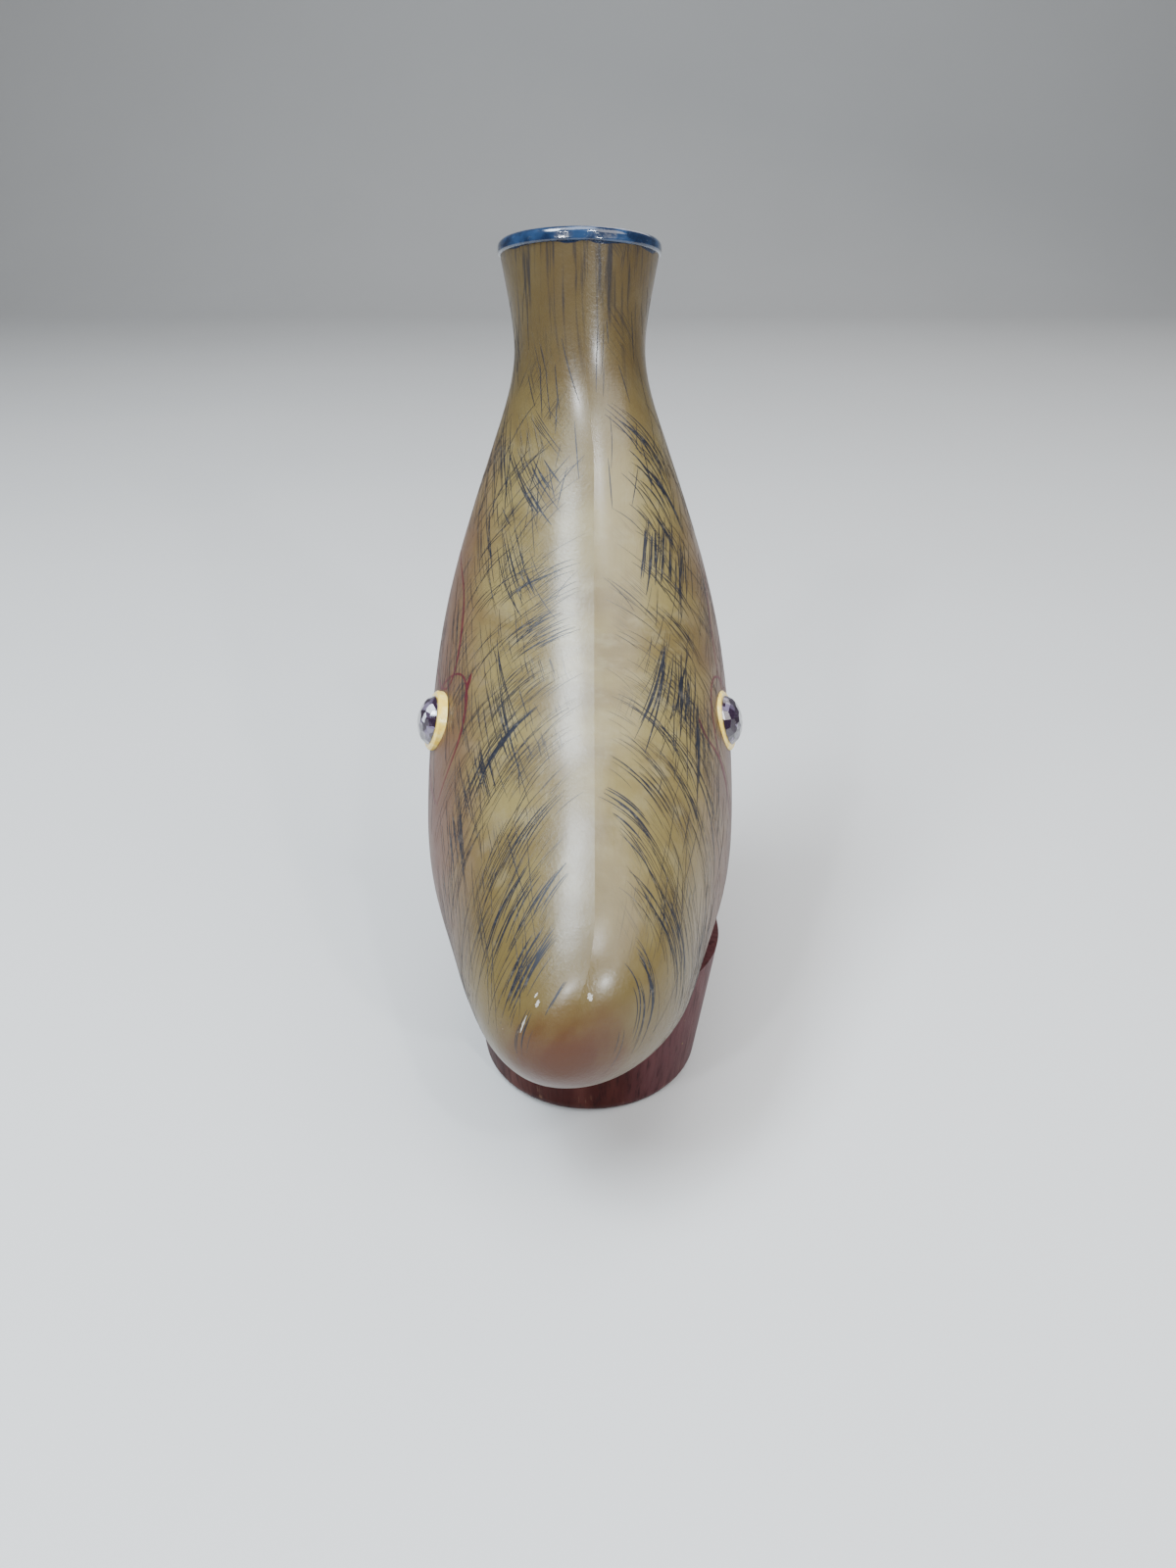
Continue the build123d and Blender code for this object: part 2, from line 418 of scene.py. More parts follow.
# ------------------------------------------------------------------ material nodes
class Graph:
    """A material's node tree, with short calls to add nodes and join them."""

    def __init__(self, name):
        self.material = bpy.data.materials.new(name)
        self.material.use_nodes = True
        self.tree = self.material.node_tree
        self.shader = self.tree.nodes["Principled BSDF"]

    def feed(self, socket, value):
        """A value or another node's output goes into a socket."""
        if isinstance(value, bpy.types.NodeSocket):
            self.tree.links.new(value, socket)
        else:
            socket.default_value = value

    def add(self, kind, inputs, **settings):
        node = self.tree.nodes.new(kind)
        for name, value in settings.items():
            setattr(node, name, value)
        for socket, value in inputs.items():
            self.feed(node.inputs[socket], value)
        return node

    def math(self, operation, first, second=0.0):
        return self.add("ShaderNodeMath", {0: first, 1: second}, operation=operation).outputs[0]

    def times(self, first, second):
        return self.math("MULTIPLY", first, second)

    def plus(self, first, second):
        return self.math("ADD", first, second)

    def mix(self, share, first, second):
        """Colour between two, by share."""
        return self.add("ShaderNodeMix", {0: share, 6: first, 7: second}, data_type="RGBA").outputs[2]

    def step(self, value, low, high):
        """0 below low, 1 above high, smooth between. low may be over high, which turns it round."""
        inputs = {0: value, 1: low, 2: high}
        return self.add("ShaderNodeMapRange", inputs, interpolation_type="SMOOTHSTEP").outputs[0]

    def noise(self, vector, scale=1.0, detail=2.0, roughness=0.5, seed=0.0):
        """Noise from 0 to 1 about 0.5 over a vector in millimetres; scale is per millimetre."""
        inputs = {"Vector": vector, "W": seed, "Scale": scale, "Detail": detail, "Roughness": roughness}
        return self.add("ShaderNodeTexNoise", inputs, noise_dimensions="4D").outputs[0]

    def attribute(self, name):
        return self.add("ShaderNodeAttribute", {}, attribute_name=name).outputs["Fac"]

    def point(self):
        """The place in millimetres."""
        place = self.add("ShaderNodeTexCoord", {}).outputs["Object"]
        return self.add("ShaderNodeVectorMath", {0: place, 3: 1.0 / MM}, operation="SCALE").outputs[0]

    def skin(self):
        """Signed millimetres round from the keel, and millimetres along from the nose."""
        uv = self.add("ShaderNodeUVMap", {}, uv_map="skin").outputs[0]
        parts = self.add("ShaderNodeSeparateXYZ", {0: uv})
        return tuple(self.times(part, 1.0 / UV_PER_MM) for part in parts.outputs[:2])

    def vector(self, x, y, z=0.0):
        return self.add("ShaderNodeCombineXYZ", {0: x, 1: y, 2: z}).outputs[0]

    def parts(self, vector):
        return self.add("ShaderNodeSeparateXYZ", {0: vector}).outputs

    def relief(self, *layers):
        """Bumps, each a height from 0 to 1 and its depth in millimetres, onto the shader's normal."""
        normal = None
        for height, depth in layers:
            inputs = {"Height": height, "Distance": depth * MM, "Strength": 1.0}
            if normal is not None:
                inputs["Normal"] = normal
            normal = self.add("ShaderNodeBump", inputs).outputs[0]
        self.feed(self.shader.inputs["Normal"], normal)

    def surface(self, **values):
        """Shader inputs by name, with underscores for spaces."""
        for name, value in values.items():
            self.feed(self.shader.inputs[name.replace("_", " ")], value)


def colour(red, green, blue):
    return (red, green, blue, 1.0)


OLIVE = colour(0.178, 0.139, 0.052)
OLIVE_DEEP = colour(0.122, 0.088, 0.032)
OLIVE_PALE = colour(0.240, 0.208, 0.118)
# Painted shade: the next four tones darken and redden the front, the flanks, the nose's tip and the flaring
# tail, standing in for shade and reddish reflections; the nose's tip is amber paint as well.
FRONT_PAINTED_SHADE = colour(0.088, 0.060, 0.018)
FLANK_PAINTED_SHADE = colour(0.084, 0.028, 0.022)
NOSE_AMBER_AND_SHADE = colour(0.058, 0.016, 0.005)
FLARE_PAINTED_SHADE = colour(0.058, 0.036, 0.013)
STROKE_INK = colour(0.007, 0.008, 0.015)
LACQUER = colour(0.004, 0.012, 0.036)
CHIP_WHITE = colour(0.72, 0.70, 0.62)
WORN_WOOD = colour(0.47, 0.33, 0.17)


def streaks(graph, across, along, width, length, seed, low, high):
    """Thin marks along one direction: 1 on a mark and 0 off it."""
    place = graph.vector(graph.math("DIVIDE", across, width), graph.math("DIVIDE", along, length), seed)
    return graph.step(graph.noise(place, 1.0, 3.0, 0.6, seed), low, high)


def ground_tone(graph, around, along, place, cloud):
    """The paint's own tone, with dark blotches, pale clouds and a fine grain."""
    blotches = graph.noise(place, 0.05, 3.0, 0.55, 3.0)
    tone = graph.mix(graph.step(blotches, 0.36, 0.64), OLIVE_DEEP, OLIVE)
    tone = graph.mix(graph.times(graph.step(cloud, 0.48, 0.72), 0.45), tone, OLIVE_PALE)
    grain = streaks(graph, around, along, 0.9, 22.0, 4.0, 0.45, 0.75)
    return graph.mix(graph.times(grain, 0.25), tone, OLIVE_DEEP)


def brushed_hairs(graph, out, along, place):
    """Fine brushed lines: one set bends outwards to the nose, and the other crosses it steeply."""
    outwards = graph.plus(along, graph.times(out, 1.15))
    steep = graph.math("SUBTRACT", out, graph.times(along, 0.16))
    hairs = streaks(graph, outwards, out, 0.42, 15.0, 11.0, 0.545, 0.61)
    crossing = streaks(graph, steep, along, 0.40, 18.0, 17.0, 0.56, 0.625)
    patches = graph.step(graph.noise(place, 0.06, 1.0, 0.5, 21.0), 0.46, 0.62)
    other_patches = graph.step(graph.noise(place, 0.07, 1.0, 0.5, 33.0), 0.50, 0.64)
    off_keel = graph.step(out, 2.0, 11.0)
    off_nose = graph.step(along, 12.0, 30.0)
    clear = graph.times(off_keel, off_nose)
    hairs = graph.times(graph.times(hairs, patches), clear)
    crossing = graph.times(graph.times(crossing, other_patches), clear)
    return graph.math("MAXIMUM", hairs, crossing)


def rasp_wear(graph, tone, solid):
    """Bare wood on the worn ridges of the rasp, and darker paint down in its notches."""
    cut = graph.attribute("cut")
    speck = graph.noise(solid, 0.9, 4.0, 0.65, 61.0)
    ridge = graph.times(graph.attribute("crest"), graph.step(cut, 0.25, 0.02))
    ridge = graph.times(ridge, graph.step(speck, 0.40, 0.56))
    tone = graph.mix(graph.times(ridge, 0.8), tone, WORN_WOOD)
    # The notches are painted darker towards their bottoms.
    groove = graph.step(cut, 0.35, 1.1)
    return graph.mix(graph.times(groove, 0.7), tone, OLIVE_DEEP)


def painted_body():
    """Satin olive-tan paint with fine brushed lines, turned darker and browner by painted shade towards the
    flanks, the front, the nose and the tail.
    """
    graph = Graph("painted_body")
    around, along = graph.skin()
    out = graph.math("ABSOLUTE", around)
    place = graph.vector(around, along)
    solid = graph.point()
    cloud = graph.noise(place, 0.11, 4.0, 0.6, 9.0)

    def zone(distance, ragged, start, end):
        """0 before the start and 1 past the end, with a ragged edge."""
        return graph.step(graph.plus(distance, graph.times(cloud, ragged)), start, end)

    flank = zone(out, 16.0, 27.0, 60.0)
    front = zone(along, 30.0, 82.0, 30.0)
    nose = zone(along, 14.0, 27.0, 12.0)
    tail = zone(along, 16.0, 186.0, 224.0)
    near_lip = zone(along, 26.0, 212.0, 240.0)

    tone = ground_tone(graph, around, along, place, cloud)
    # Painted shade: the flanks are mixed towards a dark red-brown that stands in for shade and a reddish
    # reflection along the sides.
    tone = graph.mix(graph.times(flank, 0.84), tone, FLANK_PAINTED_SHADE)
    # Painted shade: the front is mixed towards a darker olive that stands in for the shade it gets.
    tone = graph.mix(graph.times(front, 0.88), tone, FRONT_PAINTED_SHADE)
    # Partly painted shade: the nose's tip is amber paint, taken to a deep red-brown that stands in for shade
    # and a reddish reflection under it.
    tone = graph.mix(graph.times(nose, 0.94), tone, NOSE_AMBER_AND_SHADE)
    # Painted shade: the flaring tail is mixed towards a darker brown that stands in for shade and reddish
    # light reflected onto it.
    tone = graph.mix(graph.times(tail, 0.8), tone, FLARE_PAINTED_SHADE)
    brushed = brushed_hairs(graph, out, along, place)
    tone = graph.mix(graph.times(brushed, 0.78), tone, STROKE_INK)

    # dark runs down from the lip
    runs = streaks(graph, around, along, 1.1, 24.0, 41.0, 0.50, 0.64)
    tone = graph.mix(graph.times(graph.times(runs, near_lip), 0.75), tone, STROKE_INK)

    # the lacquer's uneven lower line
    wave = graph.noise(graph.vector(around, 0.0), 0.09, 2.0, 0.5, 52.0)
    lip = graph.step(graph.plus(along, graph.times(wave, 5.0)), 234.1, 234.4)
    tone = graph.mix(lip, tone, LACQUER)
    tone = rasp_wear(graph, tone, solid)

    # pinhead chips at the nose
    chips = graph.step(graph.noise(solid, 0.55, 3.0, 0.7, 71.0), 0.735, 0.755)
    chip_zone = graph.times(graph.step(along, 30.0, 20.0), graph.step(out, 26.0, 18.0))
    chips = graph.times(chips, chip_zone)
    tone = graph.mix(chips, tone, CHIP_WHITE)

    smudge = graph.noise(place, 0.25, 4.0, 0.6, 81.0)
    rough = graph.plus(graph.times(smudge, 0.20), 0.24)
    rough = graph.plus(rough, graph.times(chips, 0.3))
    rough = graph.math("SUBTRACT", rough, graph.times(lip, 0.14))
    rough = graph.plus(rough, graph.times(flank, 0.14))
    shine = graph.math("SUBTRACT", 0.5, graph.times(flank, 0.38))
    for dull, share in ((front, 0.40), (nose, 0.60)):
        shine = graph.times(shine, graph.math("SUBTRACT", 1.0, graph.times(dull, share)))
    graph.surface(Base_Color=tone, Roughness=rough, Specular_IOR_Level=0.36)
    graph.surface(Coat_Weight=graph.times(shine, 0.9), Coat_Roughness=0.22)
    peel = graph.noise(solid, 1.25, 3.0, 0.6, 91.0)
    carving = graph.noise(solid, 0.09, 2.0, 0.5, 92.0)
    graph.relief((peel, 0.075), (carving, 0.28), (brushed, 0.02))
    return graph.material


def bare_wood(name, pale, dark):
    """Unpainted wood with upright grain."""
    graph = Graph(name)
    x, y, z = graph.parts(graph.point())
    place = graph.vector(x, y, graph.times(z, 0.05))
    fibre = graph.noise(place, 1.1, 4.0, 0.65, 5.0)
    band = graph.noise(place, 0.16, 3.0, 0.6, 8.0)
    tone = graph.mix(graph.step(band, 0.35, 0.65), pale, dark)
    tone = graph.mix(graph.times(graph.step(fibre, 0.5, 0.72), 0.6), tone, dark)
    rough = graph.plus(graph.times(fibre, 0.25), 0.55)
    graph.surface(Base_Color=tone, Roughness=rough)
    graph.relief((fibre, 0.12), (band, 0.15))
    return graph.material


def foot_wood():
    """Dark red-brown stain over upright grain, with a paler mauve +X side of painted light, paler rubbed
    patches and a few drips of yellow paint.
    """
    graph = Graph("foot_wood")
    solid = graph.point()
    x, y, z = graph.parts(solid)
    place = graph.vector(x, y, graph.times(z, 0.07))
    fibre = graph.noise(place, 0.85, 5.0, 0.65, 13.0)
    band = graph.noise(place, 0.13, 3.0, 0.55, 14.0)
    tone = graph.mix(graph.step(band, 0.38, 0.62), colour(0.036, 0.007, 0.006), colour(0.070, 0.020, 0.016))
    # Painted light: the +X side is mixed towards a paler mauve that stands in for light and a pinkish
    # reflection falling on that side.
    side = graph.step(graph.plus(x, graph.times(band, 12.0)), 10.0, 22.0)
    tone = graph.mix(graph.times(side, 0.6), tone, colour(0.084, 0.032, 0.038))
    tone = graph.mix(graph.times(graph.step(fibre, 0.50, 0.70), 0.7), tone, colour(0.010, 0.003, 0.004))
    worn = graph.times(graph.step(fibre, 0.42, 0.30), graph.step(z, 9.0, 1.0))
    tone = graph.mix(graph.times(worn, 0.6), tone, colour(0.24, 0.14, 0.08))
    drips = graph.noise(graph.vector(x, y, graph.times(z, 0.45)), 0.28, 2.0, 0.6, 15.0)
    drips = graph.times(graph.step(drips, 0.685, 0.705), graph.step(x, 12.0, 18.0))
    tone = graph.mix(drips, tone, colour(0.42, 0.33, 0.055))
    rough = graph.plus(graph.times(fibre, 0.3), 0.3)
    graph.surface(Base_Color=tone, Roughness=rough, Specular_IOR_Level=0.08)
    graph.relief((fibre, 0.10), (band, 0.18), (drips, 0.15))
    return graph.material


def lacquer():
    """Thick glossy blue-black lacquer, with paler blue patches of painted sky reflection, brush waves and a
    little dust.
    """
    graph = Graph("lip_lacquer")
    solid = graph.point()
    cloud = graph.noise(solid, 0.22, 3.0, 0.5, 23.0)
    dust = graph.step(graph.noise(solid, 1.7, 2.0, 0.6, 24.0), 0.68, 0.74)
    # Partly painted reflection: the lacquer is blue-black, and its paler blue patches stand in for a
    # reflected blue sky.
    tone = graph.mix(graph.step(cloud, 0.4, 0.65), LACQUER, colour(0.014, 0.038, 0.092))
    tone = graph.mix(graph.times(dust, 0.25), tone, colour(0.20, 0.22, 0.24))
    rough = graph.plus(graph.times(cloud, 0.16), 0.07)
    graph.surface(Base_Color=tone, Roughness=rough, Coat_Weight=0.6, Coat_Roughness=0.06)
    graph.relief((cloud, 0.30), (dust, 0.02))
    return graph.material


def yellow_paint():
    """Glossy yellow paint, a little darker and rubbed where the brush left it thin."""
    graph = Graph("yellow_ring")
    solid = graph.point()
    cloud = graph.noise(solid, 0.45, 3.0, 0.6, 25.0)
    speck = graph.step(graph.noise(solid, 1.6, 3.0, 0.7, 26.0), 0.62, 0.70)
    tone = graph.mix(graph.step(cloud, 0.40, 0.66), colour(0.80, 0.54, 0.07), colour(0.84, 0.66, 0.20))
    tone = graph.mix(graph.times(speck, 0.45), tone, colour(0.36, 0.20, 0.03))
    rough = graph.plus(graph.times(cloud, 0.2), 0.16)
    graph.surface(Base_Color=tone, Roughness=rough, Coat_Weight=0.4, Coat_Roughness=0.1)
    graph.relief((cloud, 0.12), (speck, 0.03))
    return graph.material


def crystal_glass():
    """Clear stone with painted reflections: dark violet and pale flashes in its colour stand in for what its
    foil throws back, with fine scuffs.
    """
    graph = Graph("crystal")
    solid = graph.point()
    inputs = {"Vector": solid, "Scale": 0.62, "Randomness": 1.0}
    cells = graph.add("ShaderNodeTexVoronoi", inputs, feature="F1").outputs["Color"]
    # Painted reflections: these cells give the stone's colour dark violet and pale flashes that stand in for
    # the foil's reflections and glints.
    painted_flash = graph.parts(cells)[0]
    tone = graph.mix(graph.step(painted_flash, 0.55, 0.92), colour(0.024, 0.010, 0.028), colour(0.20, 0.16, 0.25))
    tone = graph.mix(graph.step(painted_flash, 0.93, 0.97), tone, colour(0.80, 0.80, 0.88))
    scuff = graph.step(graph.noise(solid, 2.2, 3.0, 0.7, 27.0), 0.60, 0.72)
    rough = graph.plus(graph.times(scuff, 0.08), 0.02)
    graph.surface(Base_Color=tone, Roughness=rough, IOR=1.65, Transmission_Weight=0.35)
    graph.surface(Coat_Weight=1.0, Coat_Roughness=0.02)
    return graph.material


def foil():
    """The stone's dull silver backing."""
    graph = Graph("crystal_foil")
    mottle = graph.noise(graph.point(), 0.8, 4.0, 0.7, 28.0)
    tone = graph.mix(graph.step(mottle, 0.42, 0.62), colour(0.34, 0.30, 0.40), colour(0.10, 0.07, 0.12))
    rough = graph.plus(graph.times(mottle, 0.3), 0.1)
    graph.surface(Base_Color=tone, Metallic=1.0, Roughness=rough)
    return graph.material


def line_paint(name, thick, thin, seed):
    """A painted line's colour, thin in places."""
    graph = Graph(name)
    solid = graph.point()
    cover = graph.noise(solid, 0.7, 4.0, 0.7, seed)
    tone = graph.mix(graph.step(cover, 0.50, 0.70), thick, thin)
    rough = graph.plus(graph.times(cover, 0.25), 0.32)
    graph.surface(Base_Color=tone, Roughness=rough)
    graph.relief((cover, 0.01))
    return graph.material


# ------------------------------------------------------------------ painted lines
LINE_PROUD = 0.025  # a painted line's top above the skin
LINE_SUNK = 0.10


class Bundle(NamedTuple):
    """One pull of a nearly dry brush: hairs side by side that start near the same place."""

    side: int  # 1 is the +X side
    around: float  # from the keel
    along: float  # from the nose
    reach: float
    heading: float  # degrees: 0 goes straight round the body and 90 straight towards the nose
    turn: float  # how much the heading grows over the reach
    spread: float  # across the bundle
    hairs: int
    weight: float


# The first rows sweep outwards from the keel, and the last ones cross them.
BUNDLES = (
    Bundle(-1, 2, 160, 36, 22, 30, 4, 5, 1.0),
    Bundle(-1, 3, 152, 26, 30, 25, 4, 4, 0.8),
    Bundle(-1, 6, 144, 26, 32, 24, 5, 9, 1.1),
    Bundle(-1, 3, 136, 22, 26, 26, 4, 6, 0.9),
    Bundle(-1, 9, 120, 28, 40, 22, 9, 12, 0.8),
    Bundle(-1, 11, 103, 42, 44, 24, 5, 14, 1.4),
    Bundle(-1, 10, 88, 24, 46, 12, 8, 8, 0.9),
    Bundle(-1, 8, 65, 34, 42, 14, 7, 8, 1.0),
    Bundle(-1, 13, 46, 26, 40, 22, 8, 9, 1.3),
    Bundle(-1, 5, 44, 22, 40, 16, 2, 4, 1.5),
    Bundle(-1, 9, 32, 20, 42, 26, 8, 11, 1.6),
    Bundle(-1, 4, 20, 6, 60, 20, 1, 2, 1.5),
    Bundle(-1, 12, 17, 8, 62, 20, 6, 5, 1.2),
    Bundle(1, 10, 159, 30, 38, 24, 4, 5, 1.1),
    Bundle(1, 12, 148, 25, 44, 20, 6, 5, 0.8),
    Bundle(1, 4, 118, 30, 34, 34, 6, 5, 0.7),
    Bundle(1, 4, 102, 52, 36, 36, 4, 6, 1.5),
    Bundle(1, 6, 87, 46, 36, 30, 4, 5, 1.3),
    Bundle(1, 4, 76, 24, 36, 18, 7, 8, 1.0),
    Bundle(1, 1, 60, 24, 28, 16, 4, 5, 1.8),
    Bundle(1, 5, 54, 26, 34, 22, 6, 6, 1.0),
    Bundle(1, 6, 41, 26, 24, 30, 7, 6, 1.2),
    Bundle(1, 15, 44, 24, 40, 30, 5, 5, 1.3),
    Bundle(1, 7, 27, 20, 28, 44, 7, 8, 1.3),
    Bundle(1, 12, 15, 10, 52, 30, 4, 3, 1.5),
    Bundle(1, 4, 200, 32, 36, 24, 5, 6, 1.0),
    Bundle(1, 8, 188, 30, 40, 24, 6, 9, 1.3),
    Bundle(1, 10, 176, 26, 46, 20, 6, 6, 0.9),
    Bundle(-1, 22, 190, 20, 118, 8, 8, 6, 1.0),
    Bundle(-1, 20, 184, 18, 122, 8, 9, 8, 1.7),
    Bundle(-1, 16, 198, 14, 124, 8, 8, 4, 0.9),
    Bundle(-1, 32, 196, 26, 96, 8, 9, 9, 1.2),
    Bundle(-1, 34, 176, 26, 98, 8, 9, 7, 1.0),
    Bundle(-1, 24, 168, 24, 104, 6, 8, 8, 0.9),
    Bundle(-1, 27, 138, 74, 96, 8, 3, 4, 1.1),
    Bundle(-1, 20, 157, 22, 112, 4, 6, 4, 1.2),
    Bundle(-1, 30, 116, 30, 98, 4, 14, 10, 0.8),
    Bundle(-1, 29, 96, 34, 98, 6, 13, 14, 0.9),
    Bundle(-1, 38, 84, 32, 92, 4, 10, 12, 0.8),
    Bundle(-1, 44, 70, 34, 86, 6, 12, 9, 0.7),
    Bundle(-1, 42, 150, 60, 92, 4, 8, 6, 0.8),
    Bundle(1, 17, 172, 22, 92, 6, 9, 11, 1.6),
    Bundle(1, 24, 166, 26, 90, 6, 8, 8, 1.1),
    Bundle(1, 19, 137, 54, 96, 6, 3, 5, 1.7),
    Bundle(1, 24, 130, 36, 92, 6, 7, 11, 1.4),
    Bundle(1, 28, 118, 46, 90, 4, 8, 13, 1.1),
    Bundle(1, 34, 100, 30, 88, 6, 8, 7, 0.9),
    Bundle(1, 38, 60, 34, 80, 14, 10, 9, 0.9),
    Bundle(1, 46, 52, 26, 76, 14, 10, 6, 0.7),
    Bundle(-1, 40, 44, 24, 74, 14, 12, 9, 0.8),
    Bundle(1, 40, 160, 44, 88, 4, 8, 6, 0.9),
)


class Field(NamedTuple):
    """Loose hairs strewn between two limits of each value."""

    hairs: int
    around: tuple
    along: tuple
    reach: tuple
    heading: tuple
    turn: tuple
    weight: tuple


LOOSE_FIELDS = (
    Field(170, (2, 34), (26, 200), (7, 26), (30, 48), (14, 30), (0.35, 0.85)),
    Field(110, (14, 46), (30, 186), (6, 20), (88, 104), (2, 8), (0.35, 0.80)),
    Field(60, (46, 78), (50, 190), (12, 34), (76, 98), (0, 10), (0.4, 1.0)),
    Field(46, (3, 46), (176, 226), (5, 14), (70, 100), (0, 10), (0.5, 1.1)),
)
HAIR_WIDTH = 0.28
HAIR_SHARE = 1.6  # hairs made for each one that a bundle states
HAIR_STEPS = 14
HAIR_ENDS = (0.03, 0.97)  # the part of a half wave that a hair's width follows
HAIR_TAPER = 0.6
SEED = 20

# How the hairs of a bundle differ, as shares of its own values.
SIDE_SPREAD = 0.36
LATE_START = 0.35
SHORTEST = 0.35
LONGER = 0.6
EDGE_SHORTER = 0.4  # how much shorter a hair at the bundle's edge is
WEIGHTS = (0.45, 1.25)
ASTRAY = 3.0  # degrees

# How far all hairs keep off the keel, the nose's tip and the lip.
CLEAR_OF_KEEL = 0.4
CLEAR_OF_NOSE = 8.0
CLEAR_OF_LIP = 3.0

# Red lines beside the eyes, as (around, along) turning points.
EYE_OUTLINE = ((48, 84), (40, 95), (36.0, 108), (39, 123), (50, 120), (56, 107), (54, 94), (48, 84))
BROW = {1: ((29, 104), (32, 99), (38, 96), (43, 92), (46, 87)), -1: ((34, 122), (35.5, 117), (36, 111))}
FLANK_LEAF = ((50, 163), (41, 153), (39, 142), (46, 120), (55, 130), (59, 144), (57, 155), (50, 163))
RED_STEP = 1.0


def smooth_line(points, step):
    """Evenly spaced points along a smooth curve through some turning points."""
    points = np.asarray(points, float)
    chord = np.r_[0, np.cumsum(np.linalg.norm(np.diff(points, axis=0), axis=1))]
    return natural_spline(chord, points, np.linspace(0, chord[-1], int(chord[-1] / step) + 1))


class Paint:
    """Thin painted lines that lie on the body's skin, gathered into one piece."""

    def __init__(self, body):
        self.body = body
        self.vertices = []
        self.faces = []

    def add(self, side, line, widths):
        """One more line, as wide at each of its points as widths says."""
        start = len(self.vertices)
        ahead = np.gradient(line, axis=0)
        ahead /= np.linalg.norm(ahead, axis=1)[:, None]
        sideways = np.column_stack((-ahead[:, 1], ahead[:, 0]))
        for spot, aside, width in zip(line, sideways, widths):
            for share in (-0.5, 0.5):
                point, normal = self.body.place(side, *(spot + aside * width * share))
                self.vertices.append(point + normal * LINE_PROUD)
            point, normal = self.body.place(side, *spot)
            self.vertices.append(point - normal * LINE_SUNK)
        self.faces.append((start, start + 1, start + 2))
        for index in range(len(line) - 1):
            here = start + 3 * index
            for a, b in ((0, 1), (1, 2), (2, 0)):
                self.faces.append((here + a, here + b, here + 3 + b, here + 3 + a))
        end = start + 3 * (len(line) - 1)
        self.faces.append((end, end + 2, end + 1))

    def add_hair(self, side, line, width):
        """A hair that tapers to both ends."""
        share = np.linspace(*HAIR_ENDS, HAIR_STEPS)
        self.add(side, line, width * np.sin(np.pi * share) ** HAIR_TAPER)

    def piece(self, name, material):
        return new_mesh(name, self.vertices, self.faces, [material])


def hair_line(spot, reach, heading, turn):
    """The path of one hair, whose heading grows by turn over its reach."""
    turned = np.radians(heading + turn * np.linspace(0, 1, HAIR_STEPS))
    stride = reach / (HAIR_STEPS - 1)
    steps = np.column_stack((np.cos(turned), -np.sin(turned))) * stride
    return np.concatenate((spot[None], spot + np.cumsum(steps[:-1], axis=0)))


def within_skin(body, line):
    """Whether a whole line keeps off the keel, the nose's tip and the lip."""
    around, along = line.T
    off_ends = along.min() > CLEAR_OF_NOSE and along.max() < body.along[-1] - CLEAR_OF_LIP
    return around.min() > CLEAR_OF_KEEL and off_ends


def add_bundle(paint, bundle, dice):
    """The hairs of one bundle, longest in its middle."""
    heading = math.radians(bundle.heading)
    across = np.array((math.sin(heading), math.cos(heading)))
    ahead = np.array((math.cos(heading), -math.sin(heading)))
    for _ in range(round(HAIR_SHARE * bundle.hairs)):
        offset = dice.gauss(0, SIDE_SPREAD) * bundle.spread
        late = dice.random() * LATE_START * bundle.reach
        reach = bundle.reach * (SHORTEST + LONGER * dice.random())
        reach *= 1.0 - EDGE_SHORTER * min(abs(offset) / bundle.spread, 1.0)
        spot = np.array((bundle.around, bundle.along)) + across * offset + ahead * late
        line = hair_line(spot, reach, bundle.heading + dice.uniform(-ASTRAY, ASTRAY), bundle.turn)
        width = HAIR_WIDTH * bundle.weight * dice.uniform(*WEIGHTS)
        if within_skin(paint.body, line):
            paint.add_hair(bundle.side, line, width)


def add_field(paint, side, field, dice):
    """The loose hairs of one field."""
    for _ in range(field.hairs):
        spot = np.array((dice.uniform(*field.around), dice.uniform(*field.along)))
        turn = dice.uniform(*field.turn)
        reach = dice.uniform(*field.reach)
        line = hair_line(spot, reach, dice.uniform(*field.heading), turn)
        if within_skin(paint.body, line):
            paint.add_hair(side, line, HAIR_WIDTH * dice.uniform(*field.weight))


def make_strokes(body, name, side, material):
    """All the dark hairs on one side, as one piece."""
    dice = random.Random(SEED + side)
    paint = Paint(body)
    for bundle in BUNDLES:
        if bundle.side == side:
            add_bundle(paint, bundle, dice)
    for field in LOOSE_FIELDS:
        add_field(paint, side, field, dice)
    return paint.piece(name, material)


def make_red_lines(body, name, side, material):
    """The outline and brow of one eye and the leaf behind it, as one piece."""
    paint = Paint(body)
    for points, width in ((EYE_OUTLINE, 0.8), (BROW[side], 1.2), (FLANK_LEAF, 0.7)):
        line = smooth_line(points, RED_STEP)
        share = np.linspace(0, 1, len(line))
        widths = width * (0.25 + 0.75 * np.abs(np.sin(np.pi * share)) ** 0.5)
        widths *= 1.0 + 0.25 * np.sin(11 * share + side)
        paint.add(side, line, widths)
    return paint.piece(name, material)


# Small chips at the nose: side, around, along, heading, length, width.
CHIPS = (
    (-1, 11.5, 15.5, 70, 2.6, 0.7),
    (-1, 9.5, 17.5, 100, 1.4, 0.9),
    (-1, 10.2, 19.0, 60, 0.9, 0.6),
    (1, 1.4, 17.0, 50, 1.7, 0.9),
)


